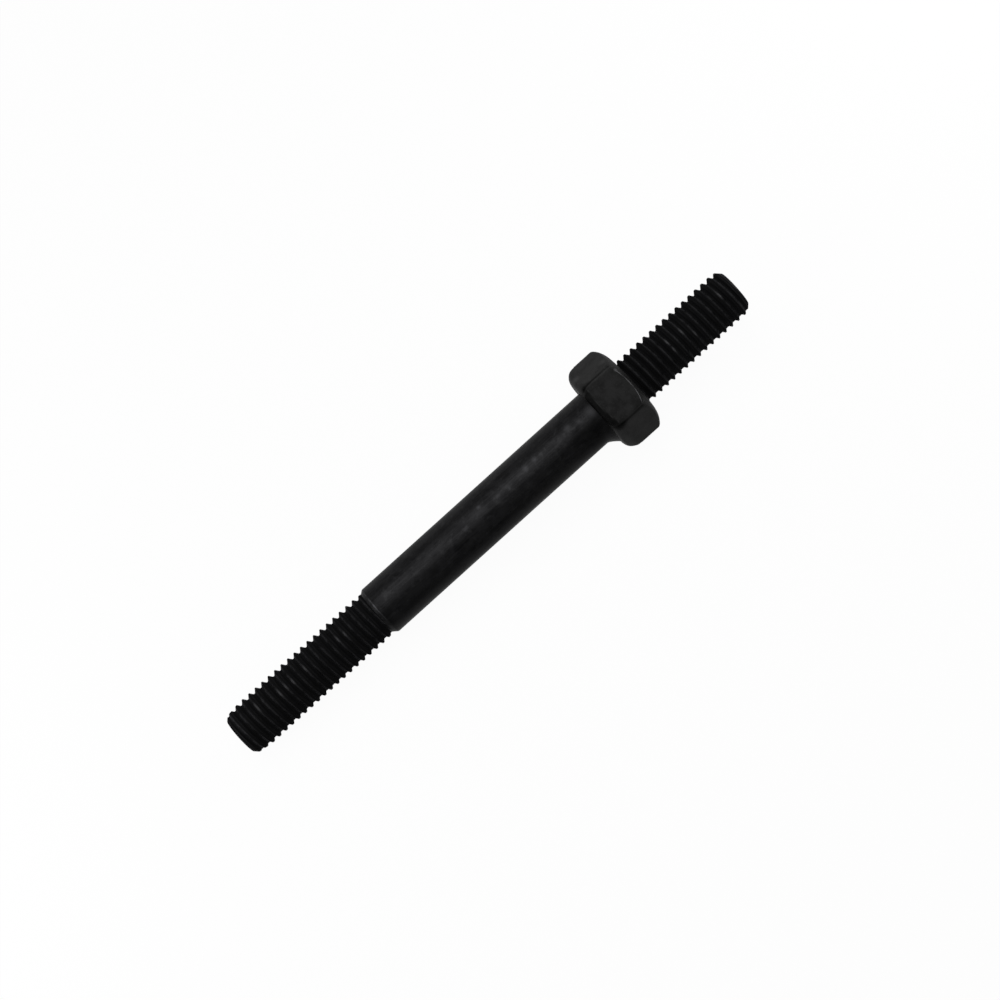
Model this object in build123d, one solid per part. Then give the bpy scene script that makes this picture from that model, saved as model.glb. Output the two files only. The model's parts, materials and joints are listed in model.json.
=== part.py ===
from build123d import *
import os
from math import acos, atan2, ceil, cos, degrees, radians, sin

# Double ended stud, M8 x 1.25 at both ends, forged, turned and rolled from one piece of steel:
# a long thread, a plain shank, a forged hexagon collar off the middle, and a short thread.
# It is built upright on its own axis, short thread up, with the collar's seat at height 0,
# and laid down at the end as it rests on a table. All sizes are in millimetres.

# ---- driving dimensions: overall lengths, each measured along the axis ----
LONG_THREAD_LENGTH = 27.0    # end face to the shoulder where the shank begins
SHANK_LENGTH = 42.0          # shoulder to the collar's seat
COLLAR_HEIGHT = 6.7
SHORT_THREAD_LENGTH = 20.1   # collar's top to the end face

# ---- shank and shoulder ----
SHANK_D = 8.0
SHOULDER_LENGTH = 0.72       # turned cone from the shank down to the thread
SHOULDER_FOOT_D = 6.9        # where that cone meets the thread's run-out

# ---- rolled thread, metric coarse, right-hand ----
# Its section is a plain V wave of the real pitch, depth and pitch diameter: crest and root are
# lines here, without their narrow flats.
PITCH = 1.25
MAJOR_D = 7.76               # over the crests
MINOR_D = 6.5                # across the roots
END_FACE_D = 5.8             # flat left on each end inside its 45 degree chamfer
LONG_THREAD_START = 1.17     # first crest on the +X side, from the long thread's end face
SHORT_THREAD_START = 0.62    # first crest on the +X side, from the collar's top
CREST_FADE_LENGTH = 1.6      # last stretch before the shoulder, where the crests are low
CREST_FADE_DROP = 0.16       # how much lower they are at the shoulder
ROOT_FADE_LENGTH = 0.9       # run-out of the root on to the shoulder and on to the collar
ROOT_FADE_D = 7.0            # the run-out's diameter where it meets the collar

# ---- forged collar ----
ACROSS_FLATS = 13.0
CORNER_RADIUS = 1.0          # upright corners, rounded by the forging die
SEAT_FLAT_D = 11.2           # flat ring of the seat, outside the shank
SEAT_BREAK_D = 13.6          # where the seat's shallow chamfer turns into its steep one
SEAT_BREAK_HEIGHT = 0.55
SEAT_RIM_HEIGHT = 1.5        # where the steep chamfer reaches the collar's corners
FLAT_RIM_HEIGHT = 0.75       # straight lower rim of the six flats, above the seat
FLAT_RIM_INSET = 0.6         # how far the slope below that rim runs in towards the axis
TOP_FLAT_D = 8.0             # flat of the top
TOP_ROUND = 4.95             # radius that domes the top's rim

# ---- forging swell, where the shank widens under the collar on one side only ----
SWELL_LENGTH = 1.5
SWELL_REACH = 1.05           # how far it stands out of the shank at the seat

CLEAR = 0.5                  # how far a cutting shape stands outside the steel it trims

SHANK_R = SHANK_D / 2
MAJOR_R = MAJOR_D / 2
MINOR_R = MINOR_D / 2
END_FACE_R = END_FACE_D / 2
CORNER_R = ACROSS_FLATS / 2 / cos(radians(30))    # out to the hexagon's sharp corners

SHOULDER_Z = -SHANK_LENGTH
LONG_END_Z = SHOULDER_Z - LONG_THREAD_LENGTH
SHORT_END_Z = COLLAR_HEIGHT + SHORT_THREAD_LENGTH


def turned(*outline):
    """A solid of revolution about the stud's axis; each outline point is (radius, height)."""
    half_section = Plane.XZ * make_face(Polyline(*outline, close=True))
    return revolve(half_section, Axis.Z)


# ---- thread ----
def helix(radius, height):
    """One turn of a right-hand helix that starts on the +X side at the given height."""
    return Helix(PITCH, PITCH, radius, center=(0, 0, height)).edge()


def tooth_outline(height):
    """One pitch of the axial section: crest, root and the next crest, as (radius, height)."""
    return [(MAJOR_R, height), (MINOR_R, height + PITCH / 2), (MAJOR_R, height + PITCH)]


def turn_faces(height):
    """The two helical flanks of one full turn."""
    lines = [helix(radius, z) for radius, z in tooth_outline(height)]
    return [Face.make_surface_from_curves(low, high) for low, high in zip(lines, lines[1:])]


def closing_faces(height):
    """The flat and the ramp that close a screw where its helices begin or end."""
    foot, head = (0, 0, height), (0, 0, height + PITCH)
    section = [foot, *((radius, 0, z) for radius, z in tooth_outline(height)), head]
    flat = make_face(Polyline(*section, close=True)).face()
    ramp = Face.make_surface_from_curves(helix(MAJOR_R, height), Edge.make_line(foot, head))
    return [flat, ramp]


def screw(turns):
    """A screw with bare ends, standing on the origin with its first crest on the +X side."""
    faces = closing_faces(0) + closing_faces(turns * PITCH)
    for turn in range(turns):
        faces += turn_faces(turn * PITCH)
    return Solid(Shell(faces))


def screw_along(low, high, crest):
    """A screw that runs past two heights, with a crest on its +X side at a third."""
    first = crest - PITCH * (ceil((crest - low) / PITCH) + 1)
    turns = ceil((high - first) / PITCH)
    return Pos(0, 0, first) * screw(turns)


def long_thread():
    """Chamfered at its end; its crests fade as they come up to the shoulder."""
    outside = MAJOR_R + CLEAR
    buried = SHOULDER_Z + CLEAR
    slope = CREST_FADE_DROP / CREST_FADE_LENGTH
    fade_z = SHOULDER_Z - SHOULDER_LENGTH - CREST_FADE_LENGTH
    envelope = turned(
        (0, LONG_END_Z),
        (END_FACE_R, LONG_END_Z),
        (outside, LONG_END_Z + outside - END_FACE_R),
        (outside, fade_z),
        (MAJOR_R, fade_z),
        (MAJOR_R - slope * (buried - fade_z), buried),
        (0, buried),
    )
    return screw_along(LONG_END_Z, buried, LONG_END_Z + LONG_THREAD_START) & envelope


def short_thread():
    """Chamfered at its end; it starts inside the collar."""
    outside = MAJOR_R + CLEAR
    buried = COLLAR_HEIGHT / 2
    envelope = turned(
        (0, buried),
        (outside, buried),
        (outside, SHORT_END_Z - outside + END_FACE_R),
        (END_FACE_R, SHORT_END_Z),
        (0, SHORT_END_Z),
    )
    return screw_along(buried, SHORT_END_Z, COLLAR_HEIGHT + SHORT_THREAD_START) & envelope


# ---- body ----
def shank():
    """Plain shank with the turned shoulder and the run-out of the long thread's root."""
    foot_z = SHOULDER_Z - SHOULDER_LENGTH
    return turned(
        (0, foot_z - ROOT_FADE_LENGTH),
        (MINOR_R - CLEAR, foot_z - ROOT_FADE_LENGTH),
        (SHOULDER_FOOT_D / 2, foot_z),
        (SHANK_R, SHOULDER_Z),
        (SHANK_R, -SWELL_LENGTH),
        (0, -SWELL_LENGTH),
    )


def swell():
    """Oblique cone from the shank into the collar: straight on its +X side, widening on -X."""
    buried = CLEAR / SWELL_LENGTH * SWELL_REACH / 2
    widening = SWELL_REACH / 2 + buried
    foot = Pos(0, 0, -SWELL_LENGTH) * Circle(SHANK_R)
    head = Pos(-widening, 0, CLEAR) * Circle(SHANK_R + widening)
    return loft([foot.face(), head.face()])


def root_run_out():
    """Low cone round the foot of the short thread, where its root fades on to the collar."""
    return turned(
        (0, COLLAR_HEIGHT - CLEAR),
        (ROOT_FADE_D / 2, COLLAR_HEIGHT - CLEAR),
        (ROOT_FADE_D / 2, COLLAR_HEIGHT),
        (MINOR_R - CLEAR, COLLAR_HEIGHT + ROOT_FADE_LENGTH),
        (0, COLLAR_HEIGHT + ROOT_FADE_LENGTH),
    )


def collar():
    """Hexagon with a flat on its -Y side, its flats sloped in below, its rim chamfered, its top domed."""
    hexagon = RegularPolygon(ACROSS_FLATS / 2, 6, major_radius=False)
    block = extrude(fillet(hexagon.vertices(), CORNER_RADIUS), COLLAR_HEIGHT)
    underside = block.faces().sort_by(Axis.Z)[0]
    block = chamfer(underside.edges(), FLAT_RIM_INSET, FLAT_RIM_HEIGHT, reference=underside)
    dome_angle = degrees(acos((CORNER_R - TOP_FLAT_D / 2) / TOP_ROUND))
    dome = CenterArc(
        (TOP_FLAT_D / 2, COLLAR_HEIGHT - TOP_ROUND), TOP_ROUND, dome_angle, 90 - dome_angle
    )
    seat_and_side = Polyline(
        (0, COLLAR_HEIGHT),
        (0, 0),
        (SEAT_FLAT_D / 2, 0),
        (SEAT_BREAK_D / 2, SEAT_BREAK_HEIGHT),
        (CORNER_R, SEAT_RIM_HEIGHT),
        dome @ 0,
    )
    top = Line(dome @ 1, (0, COLLAR_HEIGHT))
    envelope = revolve(Plane.XZ * make_face([seat_and_side, dome, top]), Axis.Z)
    return block & envelope


# ---- laid down as it rests ----
def resting_place():
    """Where the upright stud goes: one flat's lower rim and the long thread's first full crest on Z = 0.

    The short thread points to +X, the flat with the upright stud's -Y side is the low one,
    and the origin is under the middle of the laid stud.
    """
    flat_r = ACROSS_FLATS / 2
    crest_z = LONG_END_Z + LONG_THREAD_START + 0.75 * PITCH    # three quarters round from +X
    tilt = atan2(flat_r - MAJOR_R, FLAT_RIM_HEIGHT - crest_z)
    axis_height = flat_r * cos(tilt) - FLAT_RIM_HEIGHT * sin(tilt)
    low_x = LONG_END_Z * cos(tilt) - END_FACE_R * sin(tilt)
    high_x = SHORT_END_Z * cos(tilt) + END_FACE_R * sin(tilt)
    seat_centre = (-(low_x + high_x) / 2, 0, axis_height)
    return Plane(seat_centre, x_dir=(0, 1, 0), z_dir=(cos(tilt), 0, sin(tilt)))


body = shank() + collar() + swell() + root_run_out()
stud = body + long_thread() + short_thread()

os.makedirs("parts", exist_ok=True)
export_step(resting_place().location * stud.solid(), "parts/stud.step")
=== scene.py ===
import json
from math import acos, atan2, cos, hypot, pi, radians, sin, tan, tau

import bpy
from mathutils import Matrix, Vector


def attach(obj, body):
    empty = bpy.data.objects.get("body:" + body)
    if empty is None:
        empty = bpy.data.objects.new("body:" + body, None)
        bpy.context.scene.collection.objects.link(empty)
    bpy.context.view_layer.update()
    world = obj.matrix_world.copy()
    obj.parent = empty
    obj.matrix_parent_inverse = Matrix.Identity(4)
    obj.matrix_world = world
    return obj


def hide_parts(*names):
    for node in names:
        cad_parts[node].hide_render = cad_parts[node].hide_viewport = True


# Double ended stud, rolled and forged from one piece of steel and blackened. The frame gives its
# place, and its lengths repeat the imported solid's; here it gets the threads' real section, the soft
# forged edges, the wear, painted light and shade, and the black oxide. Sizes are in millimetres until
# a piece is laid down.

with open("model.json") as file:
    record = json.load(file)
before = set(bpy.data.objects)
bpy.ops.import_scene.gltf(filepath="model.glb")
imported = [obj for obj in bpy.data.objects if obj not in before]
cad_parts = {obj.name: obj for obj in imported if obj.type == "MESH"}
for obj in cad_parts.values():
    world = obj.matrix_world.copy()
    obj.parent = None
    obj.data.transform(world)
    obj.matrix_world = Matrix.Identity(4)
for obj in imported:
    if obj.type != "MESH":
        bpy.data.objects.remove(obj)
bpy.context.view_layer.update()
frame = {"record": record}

# ---- sizes of the stud, upright on its own axis with the collar's seat at height 0 ----
LONG_THREAD = 27.0
SHANK = 42.0
COLLAR = 6.7
SHORT_THREAD = 20.1
LONG_END = -SHANK - LONG_THREAD
SHORT_END = COLLAR + SHORT_THREAD

# rolled threads
PITCH = 1.25
CREST_R = 3.8                # over the crests
ROOT_R = 3.24
CREST_FLAT = 0.26            # across the flat of a crest
ROOT_FLAT = 0.24             # across the bottom of a root, with its two round corners
# (inwards, along) from the edge of the crest's flat, and (outwards, along) from the edge of the root's
CREST_ROUNDING = ((0.0, -0.05), (0.014, -0.025), (0.045, 0.0), (0.09, 0.02))
ROOT_ROUNDING = ((0.06, -0.04), (0.018, 0.01), (0.0, 0.06))
FLANK_POINTS = 4             # between those two roundings
FLANK_REACH = 0.25           # half the width of the painted highlight along a flank
ROOT_DIRT = 0.17             # depth of the dirt packed in the roots on the -X side
LONG_CREST = 1.17            # first crest on the +X side, from the long thread's end
SHORT_CREST = 0.62           # first crest on the +X side, from the collar's top
END_FACE_R = 2.9             # flat of each end, inside its 45 degree chamfer
LONG_START = (3.4, 0.14)     # radius of the first crests past the chamfer, and its rise per millimetre
SHORT_START = (3.5, 0.2)
FADE_LENGTH = 1.6            # last stretch before the shoulder, where the crests are low
FADE_DROP = 0.1              # how much lower they get per millimetre
SHORT_END_LEAN = 0.445       # degrees the short thread runs out of true, towards the +X side
LEAN_START = -1.8            # height it leans from

# shank, with its turned shoulder and the swell that one side widens by below the collar
SHANK_R = 4.0
SHOULDER = 0.72
SHOULDER_FOOT_R = 3.45
# (outwards, up) from the shoulder's foot and from its upper edge
FOOT_ROUNDING = ((-0.04, -0.05), (0.03, 0.05))
SHOULDER_ROUNDING = ((-0.09, -0.12), (-0.03, -0.02), (0.0, 0.14))
RUN_OUT = 0.9                # cone below the shoulder, hidden in the thread
RUN_OUT_R = 2.7
WORN_AND_HIGHLIT_EDGE = 0.11             # half the width of the pale line on the shoulder's edge, rubbed and painted as a highlight
RING_SPACING = 2.0           # between the mesh's rings along the shank
SWELL_LENGTH = 1.6
SWELL_TOP = 0.3              # how far it runs up inside the collar
SWELL_SLOPE = 0.5
SWELL_SOFT = 0.1             # softness of its start
SWELL_CURVE = 0.155          # how much steeper it gets

# forged collar
HALF_FLAT = 6.43             # the forging comes out a little under the 13 mm spanner size
CORNER_R = 0.55              # upright corners
SEAT_R = 5.33                # flat ring of the seat
UNDER_ROUND = 2.0            # rounds the underside up into the collar's corners
FLAT_RIM = 0.8               # lower rim of the flats above the seat, at the middle of each flat
RIM_ARCH = 0.42              # how much higher it is towards the corners
RIM_SLANT = 0.035            # its rise over one side of the forging
RIM_BLEND = 0.16             # softness of that rim
UNDER_FADE = 0.14            # from that rim down to where the painted shade on the slope is full
FLAT_SLOPE = 0.6             # the slope below that rim, inwards for each millimetre down
SIDE_FOOT = 2.1              # where the blank's upright side begins
TOP_FLAT_R = 4.5
TOP_ROUND = 3.8
BLEND = 0.3                  # width over which the forging's edges are rounded off
COLLAR_SHIFT = 0.07          # the forging stands off the axis, towards the +X side
COLLAR_SLANT = 0.65          # degrees its top is out of square, lower on the +X side

# meshes
TURN_STEPS = 96              # facets in one turn of thread
SPIN_STEPS = 160             # round the shank
COLLAR_STEPS = 360           # round the collar
SWELL_STEPS = 10             # up the shank's swell
UNDER_STEPS = 12             # up the collar's rounded underside
SIDE_STEPS = 8               # up its side
TOP_STEPS = 24               # over its domed top
THREAD_SMOOTH = 40           # degrees; sharper edges than this stay crisp
BODY_SMOOTH = 30
WELD = 0.0005                # points nearer than this are one
CLEAR = 0.5                  # how far a piece runs on inside its neighbour
MM = 0.001


# ---- where the upright stud lies ----
mounts = {m["name"]: Vector(m["pos_m"]) for m in frame["record"]["mounts"]}
along = (mounts["short_thread"] - mounts["long_thread"]).normalized()
across = Vector((0, 1, 0))
upward = along.cross(across)
seat_centre = mounts["long_thread"] + along * (LONG_THREAD + SHANK) * MM
turn = Matrix((across, upward, along)).transposed()
laid = Matrix.Translation(seat_centre) @ turn.to_4x4() @ Matrix.Scale(MM, 4)


# ---- modelling by hand ----
def clear_selection():
    bpy.ops.object.select_all(action="DESELECT")


def draw_outline(name, points):
    """A chain of edges in the XZ plane through points given as (radius, height)."""
    clear_selection()
    bpy.ops.mesh.primitive_plane_add(size=1)
    piece = bpy.context.object
    piece.name = name
    bpy.ops.object.mode_set(mode="EDIT")
    bpy.ops.mesh.merge(type="CENTER")
    bpy.ops.transform.translate(value=(points[0][0], 0, points[0][1]))
    for (x0, z0), (x1, z1) in zip(points, points[1:]):
        bpy.ops.mesh.extrude_verts_indiv()
        bpy.ops.transform.translate(value=(x1 - x0, 0, z1 - z0))
    bpy.ops.mesh.select_all(action="SELECT")
    return piece


def close_mesh():
    """Welds the mesh's seams and turns its faces outwards, in edit mode."""
    bpy.ops.mesh.select_all(action="SELECT")
    bpy.ops.mesh.remove_doubles(threshold=WELD)
    bpy.ops.mesh.normals_make_consistent(inside=False)


def spin_round(steps):
    """Spins the drawn outline round the stud's axis."""
    bpy.ops.mesh.spin(steps=steps, angle=tau, center=(0, 0, 0), axis=(0, 0, 1), use_auto_merge=True)
    close_mesh()
    bpy.ops.object.mode_set(mode="OBJECT")


def cut_off(height, above):
    """Cuts the mesh square to its axis, drops one side and closes the cut."""
    bpy.ops.mesh.select_all(action="SELECT")
    bpy.ops.mesh.bisect(
        plane_co=(0, 0, height), plane_no=(0, 0, 1), use_fill=True, threshold=0.0001,
        clear_outer=above, clear_inner=not above,
    )


def store(piece, name, values):
    """Keeps one number for each point of a mesh, for its material to read."""
    kept = piece.data.attributes.new(name, "FLOAT", "POINT")
    kept.data.foreach_set("value", values)


def lay_down(piece, smooth_angle):
    """Lays an upright piece in its place, in metres, and gives it to the stud."""
    clear_selection()
    piece.select_set(True)
    bpy.context.view_layer.objects.active = piece
    piece.matrix_world = laid
    bpy.ops.object.transform_apply(location=True, rotation=True, scale=True)
    bpy.ops.object.shade_smooth_by_angle(angle=radians(smooth_angle))
    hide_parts("stud")
    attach(piece, "root")
    return piece


# ---- threads ----
def tooth():
    """One pitch of the rolled section from the middle of one crest to the next, as (radius, height)."""
    edge_z, foot_z = CREST_FLAT / 2, (PITCH - ROOT_FLAT) / 2
    crest = [(CREST_R - inwards, edge_z + down) for inwards, down in CREST_ROUNDING]
    root = [(ROOT_R + out, foot_z + down) for out, down in ROOT_ROUNDING]
    (r0, z0), (r1, z1) = crest[-1], root[0]
    shares = [k / (FLANK_POINTS + 1) for k in range(1, FLANK_POINTS + 1)]
    flank = [(r0 + share * (r1 - r0), z0 + share * (z1 - z0)) for share in shares]
    half = [(CREST_R, 0.0)] + crest + flank + root
    return half + [(ROOT_R, PITCH / 2)] + [(r, PITCH - z) for r, z in reversed(half)]


def thread_bar(name, low, high, crest):
    """A screw between two heights, with a crest on its +X side at a third."""
    first = crest - PITCH * (int((crest - low) / PITCH) + 2)
    turns = int((high - first) / PITCH) + 2
    piece = draw_outline(name, [(r, first + z) for r, z in tooth()])
    bpy.ops.object.mode_set(mode="OBJECT")
    screw = piece.modifiers.new("roll", "SCREW")
    screw.axis = "Z"
    screw.angle = tau
    screw.screw_offset = PITCH
    screw.iterations = turns
    screw.steps = TURN_STEPS
    screw.render_steps = TURN_STEPS
    screw.use_smooth_shade = True
    bpy.ops.object.modifier_apply(modifier=screw.name)
    bpy.ops.object.mode_set(mode="EDIT")
    bpy.ops.mesh.select_all(action="SELECT")
    bpy.ops.mesh.remove_doubles(threshold=WELD)
    cut_off(high, above=True)
    cut_off(low, above=False)
    close_mesh()
    bpy.ops.object.mode_set(mode="OBJECT")
    return piece


def turn_down(piece, crest, end_side, largest):
    """Brings every point that stands outside largest(height) in to that radius.

    It also marks how high each point stands between root and crest, and the middle of the flank
    that looks to the thread's own end, where a highlight is painted.
    """
    ridge, flank = [], []
    for v in piece.data.vertices:
        r = hypot(v.co.x, v.co.y)
        ridge.append(min(1.0, max(0.0, (r - ROOT_R) / (CREST_R - ROOT_R))))
        from_crest = v.co.z - crest - PITCH * atan2(v.co.y, v.co.x) / tau
        from_crest = (from_crest + PITCH / 2) % PITCH - PITCH / 2
        flank.append(max(0.0, 1 - abs(from_crest * end_side - PITCH / 4) / FLANK_REACH))
        if r < ROOT_R - CLEAR:
            continue
        packed = ROOT_R + ROOT_DIRT * max(0.0, -v.co.x / r) ** 2
        wanted = min(max(r, packed), largest(v.co.z))
        v.co.x *= wanted / r
        v.co.y *= wanted / r
    store(piece, "ridge", ridge)
    store(piece, "flank", flank)


def chamfered(from_end, start):
    """The largest radius this far from an end face: a 45 degree chamfer, then low first crests."""
    start_r, rise = start
    return min(END_FACE_R + from_end, start_r + rise * from_end)


def long_thread():
    """Chamfered at its end; its crests fade as they come up to the shoulder."""
    buried = -SHANK + CLEAR
    piece = thread_bar("long_thread", LONG_END, buried, LONG_END + LONG_CREST)

    def largest(z):
        fade = FADE_DROP * max(0.0, z + SHANK + SHOULDER + FADE_LENGTH)
        return min(chamfered(z - LONG_END, LONG_START), CREST_R - fade)

    turn_down(piece, LONG_END + LONG_CREST, -1, largest)
    return lay_down(piece, THREAD_SMOOTH)


def short_thread():
    """Chamfered at its end, and leaning a little out of the stud's axis."""
    piece = thread_bar("short_thread", COLLAR / 2, SHORT_END, COLLAR + SHORT_CREST)
    turn_down(piece, COLLAR + SHORT_CREST, 1, lambda z: chamfered(SHORT_END - z, SHORT_START))
    for v in piece.data.vertices:
        v.co.x += (v.co.z - LEAN_START) * tan(radians(SHORT_END_LEAN))
    return lay_down(piece, THREAD_SMOOTH)


# ---- shank ----
def swell_reach(z):
    """How far the swell stands out of the shank at a height: a soft start, then ever steeper."""
    up = max(0.0, z + SWELL_LENGTH)
    return SWELL_SLOPE * (hypot(up, SWELL_SOFT) - SWELL_SOFT) + SWELL_CURVE * up**2


def shank():
    """Drawn bar with a turned shoulder; its upper end swells on the -X side into the collar."""
    foot = -SHANK - SHOULDER
    rings = int((SHANK - SWELL_LENGTH) / RING_SPACING)
    swell_step = (SWELL_LENGTH + SWELL_TOP) / SWELL_STEPS
    outline = [(0.0, foot - RUN_OUT), (RUN_OUT_R, foot - RUN_OUT)]
    outline += [(SHOULDER_FOOT_R + out, foot + up) for out, up in FOOT_ROUNDING]
    outline += [(SHANK_R + out, up - SHANK) for out, up in SHOULDER_ROUNDING]
    outline += [(SHANK_R, k * RING_SPACING - SHANK) for k in range(1, rings + 1)]
    outline += [(SHANK_R, k * swell_step - SWELL_LENGTH) for k in range(SWELL_STEPS + 1)]
    outline.append((0.0, SWELL_TOP))
    piece = draw_outline("shank", outline)
    spin_round(SPIN_STEPS)
    for v in piece.data.vertices:
        reach = swell_reach(v.co.z) / 2
        v.co.x = v.co.x * (SHANK_R + reach) / SHANK_R - reach
        v.co.y = v.co.y * (SHANK_R + reach) / SHANK_R
    store(piece, "edge", [max(0.0, 1 - abs(v.co.z + SHANK) / WORN_AND_HIGHLIT_EDGE) for v in piece.data.vertices])
    return lay_down(piece, BODY_SMOOTH)


# ---- collar ----
def hexagon_radius(angle):
    """Out to the rounded hexagon's side in this direction; a flat faces -Y."""
    a = (angle + pi / 2 + pi / 6) % (pi / 3) - pi / 6
    straight = HALF_FLAT / cos(a)
    if abs(straight * sin(a)) <= (HALF_FLAT - CORNER_R) * tan(pi / 6):
        return straight
    corner = (HALF_FLAT - CORNER_R) / cos(pi / 6)
    b = pi / 6 - abs(a)
    return corner * cos(b) + (CORNER_R**2 - (corner * sin(b)) ** 2) ** 0.5


def soft_least(a, b, width):
    """The lesser of two numbers, and how near to each other they are.

    Within the width, the change from one number to the other is rounded.
    """
    near = max(width - abs(a - b), 0.0) / width
    return min(a, b) - near**2 * width / 4, near


def blank_outline():
    """The turned blank of the collar: flat seat, rounded underside, upright side and domed top."""
    reach = HALF_FLAT / cos(pi / 6)
    quarter = [pi / 2 * k / UNDER_STEPS for k in range(UNDER_STEPS + 1)]
    under = [(SEAT_R + UNDER_ROUND * sin(a), UNDER_ROUND * (1 - cos(a))) for a in quarter]
    widest = acos((reach - TOP_FLAT_R) / TOP_ROUND)
    turns = [widest + (pi / 2 - widest) * k / TOP_STEPS for k in range(TOP_STEPS + 1)]
    dome = [(TOP_FLAT_R + TOP_ROUND * cos(a), COLLAR - TOP_ROUND + TOP_ROUND * sin(a)) for a in turns]
    side_height = dome[0][1] - SIDE_FOOT
    side = [(reach, SIDE_FOOT + side_height * k / SIDE_STEPS) for k in range(SIDE_STEPS)]
    inside_r = SHANK_R - CLEAR
    return [(0.0, 0.0), (inside_r, 0.0)] + under + side + dome + [(inside_r, COLLAR), (0.0, COLLAR)]


def press(point):
    """Presses one point of the blank in to the hexagon, sloped in below the flats' lower rim.

    Gives its marks: how near it is to a softened edge, to that rim, and how far it is below it.
    """
    r = hypot(point.x, point.y)
    if r < TOP_FLAT_R:
        return 0.0, 0.0, 0.0
    from_middle = abs((atan2(point.x, point.y) + pi / 6) % (pi / 3) - pi / 6) / (pi / 6)
    rim_height = FLAT_RIM + RIM_ARCH * from_middle**2 - RIM_SLANT * point.x
    below, rim = soft_least(point.z - rim_height, 0.0, RIM_BLEND)
    under = min(1.0, max(0.0, (rim_height - point.z) / UNDER_FADE))
    side_r = hexagon_radius(atan2(point.y, point.x)) + FLAT_SLOPE * below
    soft_r, edge = soft_least(r, side_r, BLEND)
    point.x *= soft_r / r
    point.y *= soft_r / r
    return edge, rim, under


def collar():
    """A turned blank with its sides pressed in to a soft hexagon.

    Beside the marks of the pressing it gets one more, corner: how far round each point lies from
    the two upright corners of the +Y face, below 0 on that face.
    """
    piece = draw_outline("collar", blank_outline())
    spin_round(COLLAR_STEPS)
    points = [v.co for v in piece.data.vertices]
    corners = [hypot(p.x, p.y) * (abs(atan2(p.x, p.y)) - pi / 6) for p in points]
    edges, rims, unders = zip(*(press(p) for p in points))
    for p in points:
        p.z -= p.x * tan(radians(COLLAR_SLANT)) * p.z / COLLAR
        p.x += COLLAR_SHIFT
    store(piece, "edge", edges)
    store(piece, "rim", rims)
    store(piece, "under", unders)
    store(piece, "corner", corners)
    return lay_down(piece, BODY_SMOOTH)


long_piece = long_thread()
shank_piece = shank()
collar_piece = collar()
short_piece = short_thread()


# ---- materials ----
def colour(code):
    """An sRGB hex colour as linear RGBA."""
    parts = [int(code[i:i + 2], 16) / 255 for i in (1, 3, 5)]
    return [c / 12.92 if c <= 0.04045 else ((c + 0.055) / 1.055) ** 2.4 for c in parts] + [1.0]


def add(tree, kind, inputs=None, **settings):
    """Adds a node with its settings and links; an input is a value, or another node's output socket."""
    node = tree.nodes.new("ShaderNode" + kind)
    for key, value in settings.items():
        setattr(node, key, value)
    for key, value in (inputs or {}).items():
        if isinstance(value, bpy.types.NodeSocket):
            tree.links.new(value, node.inputs[key])
        else:
            node.inputs[key].default_value = value
    return node


def new_material(name):
    made = bpy.data.materials.new(name)
    made.use_nodes = True
    made.node_tree.nodes.clear()
    return made, made.node_tree


def stud_millimetres(tree):
    """Coordinates in millimetres along the upright stud's own axes, from the collar's seat."""
    place = add(tree, "TexCoord").outputs["Object"]
    upright = turn.transposed()
    return add(tree, "Mapping", {
        "Vector": place, "Location": upright @ seat_centre / -MM, "Rotation": upright.to_euler(),
        "Scale": (1 / MM, 1 / MM, 1 / MM),
    }).outputs["Vector"]


def cloudy(tree, place, size, detail=3.0, stretch=1.0, offset=0.0):
    """Cloudy noise whose patches are about size millimetres, longer along the stud by stretch."""
    spot = add(tree, "Mapping", {
        "Vector": place, "Location": (offset, offset, offset),
        "Scale": (1 / size, 1 / size, 1 / size / stretch),
    }).outputs["Vector"]
    noise = add(tree, "TexNoise", {"Vector": spot, "Scale": 1.0, "Detail": detail, "Roughness": 0.55})
    return noise.outputs["Fac"]


def mask(tree, *parts):
    """The product of its parts.

    Each is a socket, a number, or (socket, low, high), which runs smoothly from 0 at low to 1 at high.
    """
    product = None
    for part in parts:
        if isinstance(part, tuple):
            value, low, high = part
            part = add(tree, "MapRange", {"Value": value, "From Min": low, "From Max": high},
                       interpolation_type="SMOOTHSTEP").outputs["Result"]
        if product is None:
            product = part
        else:
            product = add(tree, "Math", {0: product, 1: part}, operation="MULTIPLY").outputs[0]
    return product


def greatest(tree, *parts):
    """At each place, the greatest of its parts."""
    so_far = parts[0]
    for part in parts[1:]:
        so_far = add(tree, "Math", {0: so_far, 1: part}, operation="MAXIMUM").outputs[0]
    return so_far


def spots(tree, place, *centres):
    """Soft round patches, 1 in the middle; each is (x, y, z, reach) in millimetres."""
    patches = []
    for x, y, z, reach in centres:
        away = add(tree, "VectorMath", {0: place, 1: (x, y, z)}, operation="DISTANCE").outputs["Value"]
        patches.append(mask(tree, (away, reach, 0.0)))
    return greatest(tree, *patches)


def coats(tree, ground, *layers):
    """Lays colours over a ground; each layer is where it lies, how strongly, and its hex code."""
    mixed = colour(ground)
    for where, strength, code in layers:
        mixed = add(tree, "Mix", {0: mask(tree, where, strength), 6: mixed, 7: colour(code)},
                    data_type="RGBA", clamp_factor=True).outputs[2]
    return mixed


def finish(tree, oxide, metallic, rough, height, depth, tint):
    """The blackened steel's shader: its colour, its roughness and a relief depth millimetres deep."""
    bump = add(tree, "Bump", {"Height": height, "Strength": 1.0, "Distance": depth * MM})
    shader = add(tree, "BsdfPrincipled", {
        "Base Color": oxide, "Metallic": metallic, "Roughness": rough, "Normal": bump.outputs["Normal"],
        "Specular Tint": tint,
    })
    add(tree, "OutputMaterial", {"Surface": shader.outputs["BSDF"]})


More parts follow.
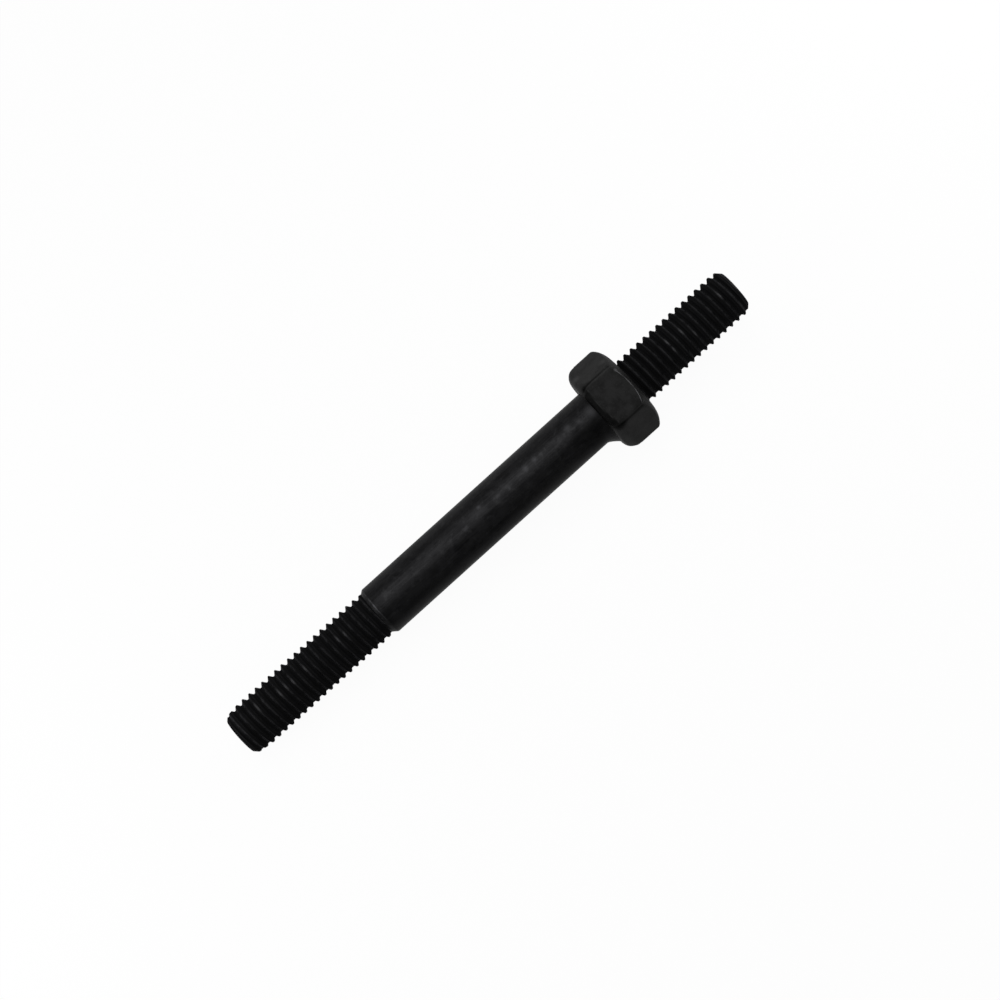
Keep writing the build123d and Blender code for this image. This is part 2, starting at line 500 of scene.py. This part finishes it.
def drawn_bar():
    """Black oxide over drawn and turned bar.

    Near-black and satin: a soft mottled sheen runs along it and faint drawing lines lie lengthwise.
    Pale rubbed specks show the steel, and the shoulder's edge is rubbed pale with a painted highlight
    on its +Y side. A painted sheen lies beside the collar on the +Y side. Painted shade dulls the -X
    side, and lies thickest at the foot of the collar.
    """
    made, tree = new_material("black_oxide_on_drawn_bar")
    place = stud_millimetres(tree)
    side_x, _, height_z = add(tree, "SeparateXYZ", {"Vector": place}).outputs
    edge = add(tree, "Attribute", attribute_name="edge").outputs["Fac"]
    cloud = cloudy(tree, place, 1.1, detail=4.0, stretch=1.5)
    broad = cloudy(tree, place, 5.0, detail=2.0, stretch=1.5, offset=3.0)
    # real drawing lines are about 0.05 mm wide, too fine to show; these are drawn wider
    lines = cloudy(tree, place, 0.22, detail=2.0, stretch=26.0, offset=4.0)
    grain = cloudy(tree, place, 0.3, detail=2.0, stretch=1.5, offset=9.0)
    speck = cloudy(tree, place, 0.7, detail=2.0, stretch=1.2, offset=17.0)
    broken = cloudy(tree, place, 1.2, detail=2.0, offset=31.0)
    rubbed = spots(
        tree, place,
        (0.4, 4.0, -25.0, 0.7), (1.4, 3.8, -21.6, 0.5), (0.7, 3.9, -18.5, 0.6), (0.4, 4.0, -16.6, 0.5),
        (1.0, 3.9, -12.9, 0.7), (1.1, 3.8, -11.1, 0.6), (1.3, 3.8, -4.6, 0.8), (1.0, 3.9, -2.6, 0.9),
        (-4.2, 1.6, -1.0, 1.8),
    )
    # a painted sheen on the +Y side of the shank beside the collar
    collar_painted_sheen = spots(tree, place, (0.75, 3.9, -0.5, 1.4))
    # the pale line on the shoulder's edge is rubbed steel with a painted highlight, on the +Y side only
    shoulder_wear_and_highlight = spots(tree, place, (1.2, 3.8, -42.0, 4.2))
    # painted shade over the -X side, thickest at the foot of the collar
    foot = mask(tree, (height_z, -7.0, -1.5), (side_x, 0.4, -1.4), (side_x, -4.1, -2.6), 0.6)
    bar_painted_shade = greatest(tree, foot, mask(tree, (side_x, -1.5, -3.0), 0.58))
    oxide = coats(
        tree, "#141415",
        ((cloud, 0.3, 0.7), 1.0, "#232324"),
        ((broad, 0.35, 0.65), 0.5, "#1e1e1f"),
        ((lines, 0.4, 0.75), 0.5, "#29292a"),
        ((speck, 0.5, 0.75), 0.5, "#2f2f30"),
        (mask(tree, rubbed, (cloud, 0.3, 0.7)), 1.0, "#343436"),
        (collar_painted_sheen, 0.9, "#444446"),
        (bar_painted_shade, 1.0, "#070707"),
        (mask(tree, edge, shoulder_wear_and_highlight, (broken, 0.3, 0.6)), 1.0, "#5c5c5f"),
    )
    rough = add(tree, "MapRange", {
        "Value": broad, "From Min": 0.3, "From Max": 0.7, "To Min": 0.5, "To Max": 0.44,
    }).outputs["Result"]
    height = add(tree, "Math", {0: lines, 1: 0.5, 2: grain}, operation="MULTIPLY_ADD").outputs[0]
    # the painted shade below the collar also dims the steel's reflection there
    finish(tree, oxide, 0.9, rough, height, 0.008, coats(tree, "#d0d0d0", (foot, 1.0, "#707070")))
    return made


def forged():
    """Black oxide over forged scale: matt, cloudy charcoal, its blunt top rims rubbed pale and painted
    with a highlight.

    Painted shade lies as a dark line beside the two corners of the +Y face, with a painted highlight
    just inside it, in the corners of its underside and on the slope below its lower rim; the -X side
    is painted a little darker all over.
    """
    made, tree = new_material("black_oxide_on_forging")
    place = stud_millimetres(tree)
    side_x, _, height_z = add(tree, "SeparateXYZ", {"Vector": place}).outputs
    edge, rim, below_rim, corner = (
        add(tree, "Attribute", attribute_name=name).outputs["Fac"]
        for name in ("edge", "rim", "under", "corner")
    )
    cloud = cloudy(tree, place, 1.5, detail=5.0)
    grain = cloudy(tree, place, 0.28, offset=5.0)
    broken = cloudy(tree, place, 1.3, offset=12.0)
    # pale marks on the top rims: rubbed steel with a painted highlight over it
    rubbed = spots(
        tree, place,
        (2.1, 6.4, 6.1, 0.7), (0.2, 6.4, 6.3, 1.2), (-1.8, 6.4, 6.1, 1.0), (-2.6, 6.2, 5.8, 0.8),
        (5.6, 3.1, 5.8, 1.0), (-5.4, 4.4, 5.5, 0.6),
    )
    bare_spot_and_highlight = spots(tree, place, (2.65, 6.15, 5.8, 0.45))
    lit = spots(tree, place, (5.6, 3.2, 0.9, 1.0), (5.2, 4.6, 5.4, 1.0))
    # painted shade in the corners of the underside, beside the shank
    underside_shade_spots = spots(
        tree, place,
        (3.6, 5.8, 0.7, 0.75), (-3.4, 6.1, 1.4, 1.3), (-2.9, 6.0, 0.3, 1.1), (-3.5, 5.8, 0.9, 1.3),
    )
    packed = mask(tree, underside_shade_spots, greatest(tree, below_rim, mask(tree, (corner, -0.3, 0.05))))
    # painted shade on the slope below the lower rim of the +Y face
    under = mask(tree, below_rim, (corner, 0.1, -0.7), 0.65)
    # a painted dark line just past each upright corner of the +Y face, with a painted highlight just inside
    # it
    corner_painted_shade = mask(tree, (corner, -0.02, 0.1), (corner, 0.36, 0.2), (height_z, 5.5, 0.5))
    corner_painted_highlight = mask(tree, (corner, -0.32, -0.2), (corner, 0.0, -0.1))
    # the top rims of the +Y and -Y faces, rubbed pale and painted with a highlight
    rim_wear_and_highlight = mask(tree, (edge, 0.6, 1.0), (broken, 0.3, 0.6), (height_z, 4.8, 5.4), (side_x, 3.4, 2.6),
                (side_x, -3.5, -2.9))
    oxide = coats(
        tree, "#1a1a1a",
        ((cloud, 0.32, 0.68), 1.0, "#272727"),
        ((grain, 0.5, 0.8), 1.0, "#2c2c2c"),
        # painted shade over the -X side
        ((side_x, -3.0, -4.0), 0.4, "#151515"),
        (corner_painted_highlight, 0.4, "#343434"),
        (mask(tree, (rim, 0.3, 0.9), (corner, 0.1, -0.3)), 0.6, "#363636"),
        (under, 1.0, "#050505"),
        (corner_painted_shade, 0.8, "#0c0c0c"),
        (packed, 0.9, "#080808"),
        (lit, 0.6, "#404040"),
        (rim_wear_and_highlight, 0.8, "#48484a"),
        (mask(tree, rubbed, (edge, 0.6, 1.0)), 1.0, "#6a6a6c"),
        (bare_spot_and_highlight, 0.9, "#5a5a5c"),
    )
    height = add(tree, "Math", {0: grain, 1: 0.6, 2: cloud}, operation="MULTIPLY_ADD").outputs[0]
    # the painted shade also dims the steel's reflection
    dull = greatest(tree, under, mask(tree, packed, 0.6))
    finish(tree, oxide, 0.85, 0.6, height, 0.012, coats(tree, "#d8d8d8", (dull, 1.0, "#404040")))
    return made


def rolled_thread():
    """Black oxide over rolled thread: dull charcoal, with painted highlights on the end-facing flanks."""
    made, tree = new_material("black_oxide_on_rolled_thread")
    place = stud_millimetres(tree)
    ridge, flank = (
        add(tree, "Attribute", attribute_name=name).outputs["Fac"] for name in ("ridge", "flank")
    )
    cloud = cloudy(tree, place, 1.8)
    grain = cloudy(tree, place, 0.25, detail=2.0, offset=7.0)
    patch = cloudy(tree, place, 1.0, detail=2.0, offset=23.0)
    glints = spots(
        tree, place,
        (1.4, 3.4, -63.9, 1.3), (0.7, 3.6, -60.3, 1.0), (0.8, 3.6, -58.9, 1.0), (0.7, 3.6, -57.8, 0.8),
        (0.9, 3.6, -55.2, 0.9), (0.9, 3.6, -49.0, 0.9), (0.8, 3.6, -47.7, 0.8), (0.9, 3.6, 14.1, 0.9),
        (-0.6, 3.6, 14.1, 0.7), (0.7, 3.6, 16.7, 0.9), (-0.9, 3.6, 18.0, 0.8), (0.9, 3.6, 24.2, 1.0),
    )
    # painted highlights and glints on the flanks that face each end; painted shade darkens the roots a
    # little, and the crests are darker
    oxide = coats(
        tree, "#1e1e1f",
        ((cloud, 0.35, 0.65), 1.0, "#262627"),
        ((ridge, 0.6, 0.1), 1.0, "#1d1d1e"),
        ((ridge, 0.75, 1.0), 1.0, "#181819"),
        (mask(tree, flank, (patch, 0.32, 0.62)), 0.9, "#3d3d3f"),
        (mask(tree, flank, glints), 1.0, "#666668"),
    )
    rough = add(tree, "MapRange", {"Value": flank, "To Min": 0.85, "To Max": 0.55}).outputs["Result"]
    finish(tree, oxide, 0.9, rough, grain, 0.01, colour("#9c9c9c"))
    return made


shank_piece.data.materials.append(drawn_bar())
collar_piece.data.materials.append(forged())
thread_finish = rolled_thread()
for piece in (long_piece, short_piece):
    piece.data.materials.append(thread_finish)


# ---- floor, light and camera ----
def studio():
    """A white floor that shows white to the camera and to the steel, and a low even light."""
    clear_selection()
    bpy.ops.mesh.primitive_plane_add(size=6.0, location=(0, 0, 0))
    floor = bpy.context.object
    floor.name = "floor"
    made, tree = new_material("white_card")
    card = add(tree, "BsdfDiffuse", {"Color": colour("#f4f4f4")})
    glow = add(tree, "Emission", {"Color": (1, 1, 1, 1), "Strength": 1.0})
    rays = add(tree, "LightPath").outputs
    seen = greatest(tree, *(rays[kind] for kind in ("Is Camera Ray", "Is Glossy Ray", "Is Transmission Ray")))
    # the card keeps a small share, so that the shadow on it still shows
    both = add(tree, "MixShader", {0: mask(tree, seen, 0.96), 1: card.outputs[0], 2: glow.outputs[0]})
    add(tree, "OutputMaterial", {"Surface": both.outputs[0]})
    floor.data.materials.append(made)

    world = bpy.data.worlds.new("studio")
    bpy.context.scene.world = world
    world.use_nodes = True
    world.node_tree.nodes.clear()
    sky = add(world.node_tree, "Background", {"Color": (1, 1, 1, 1), "Strength": 0.3})
    add(world.node_tree, "OutputWorld", {"Surface": sky.outputs[0]})


def lamp(name, place, aim, size, power):
    """An oblong lamp at a place in metres, turned to shine at another."""
    data = bpy.data.lights.new(name, "AREA")
    data.shape = "RECTANGLE"
    data.size, data.size_y = size
    data.energy = power
    made = bpy.data.objects.new(name, data)
    bpy.context.scene.collection.objects.link(made)
    made.location = place
    made.rotation_mode = "QUATERNION"
    made.rotation_quaternion = (Vector(aim) - Vector(place)).to_track_quat("-Z", "Y")


def camera():
    """Square to the stud's axis, leaning a little to its -Y side, with the short thread up and right."""
    lean, roll, distance = radians(2.9), radians(42.046), 0.400
    below_seat, beside_axis = 0.0186, 0.00027
    centre = seat_centre - along * below_seat + across * beside_axis
    view = (upward * cos(lean) - across * sin(lean)).normalized()
    side = view.cross(along)
    right = along * cos(roll) - side * sin(roll)
    up = along * sin(roll) + side * cos(roll)
    data = bpy.data.cameras.new("camera")
    data.sensor_width = 36.0
    data.lens = 100.2
    data.clip_start, data.clip_end = 0.01, 20.0
    made = bpy.data.objects.new("camera", data)
    bpy.context.scene.collection.objects.link(made)
    basis = Matrix((right, up, view)).transposed().to_4x4()
    made.matrix_world = Matrix.Translation(centre + view * distance) @ basis
    bpy.context.scene.camera = made


studio()
lamp("key", (0.03, 0.46, 0.9), (0, 0, 0), (0.5, 0.8), 4.0)
lamp("low light beyond the long thread", (-0.135, 0.03, 0.062), (-0.035, 0, 0.005), (0.05, 0.03), 0.045)
lamp("low light beyond the short thread", (0.135, 0.03, 0.062), (0.035, 0, 0.005), (0.05, 0.03), 0.045)
camera()
bpy.context.scene.view_settings.view_transform = "Standard"
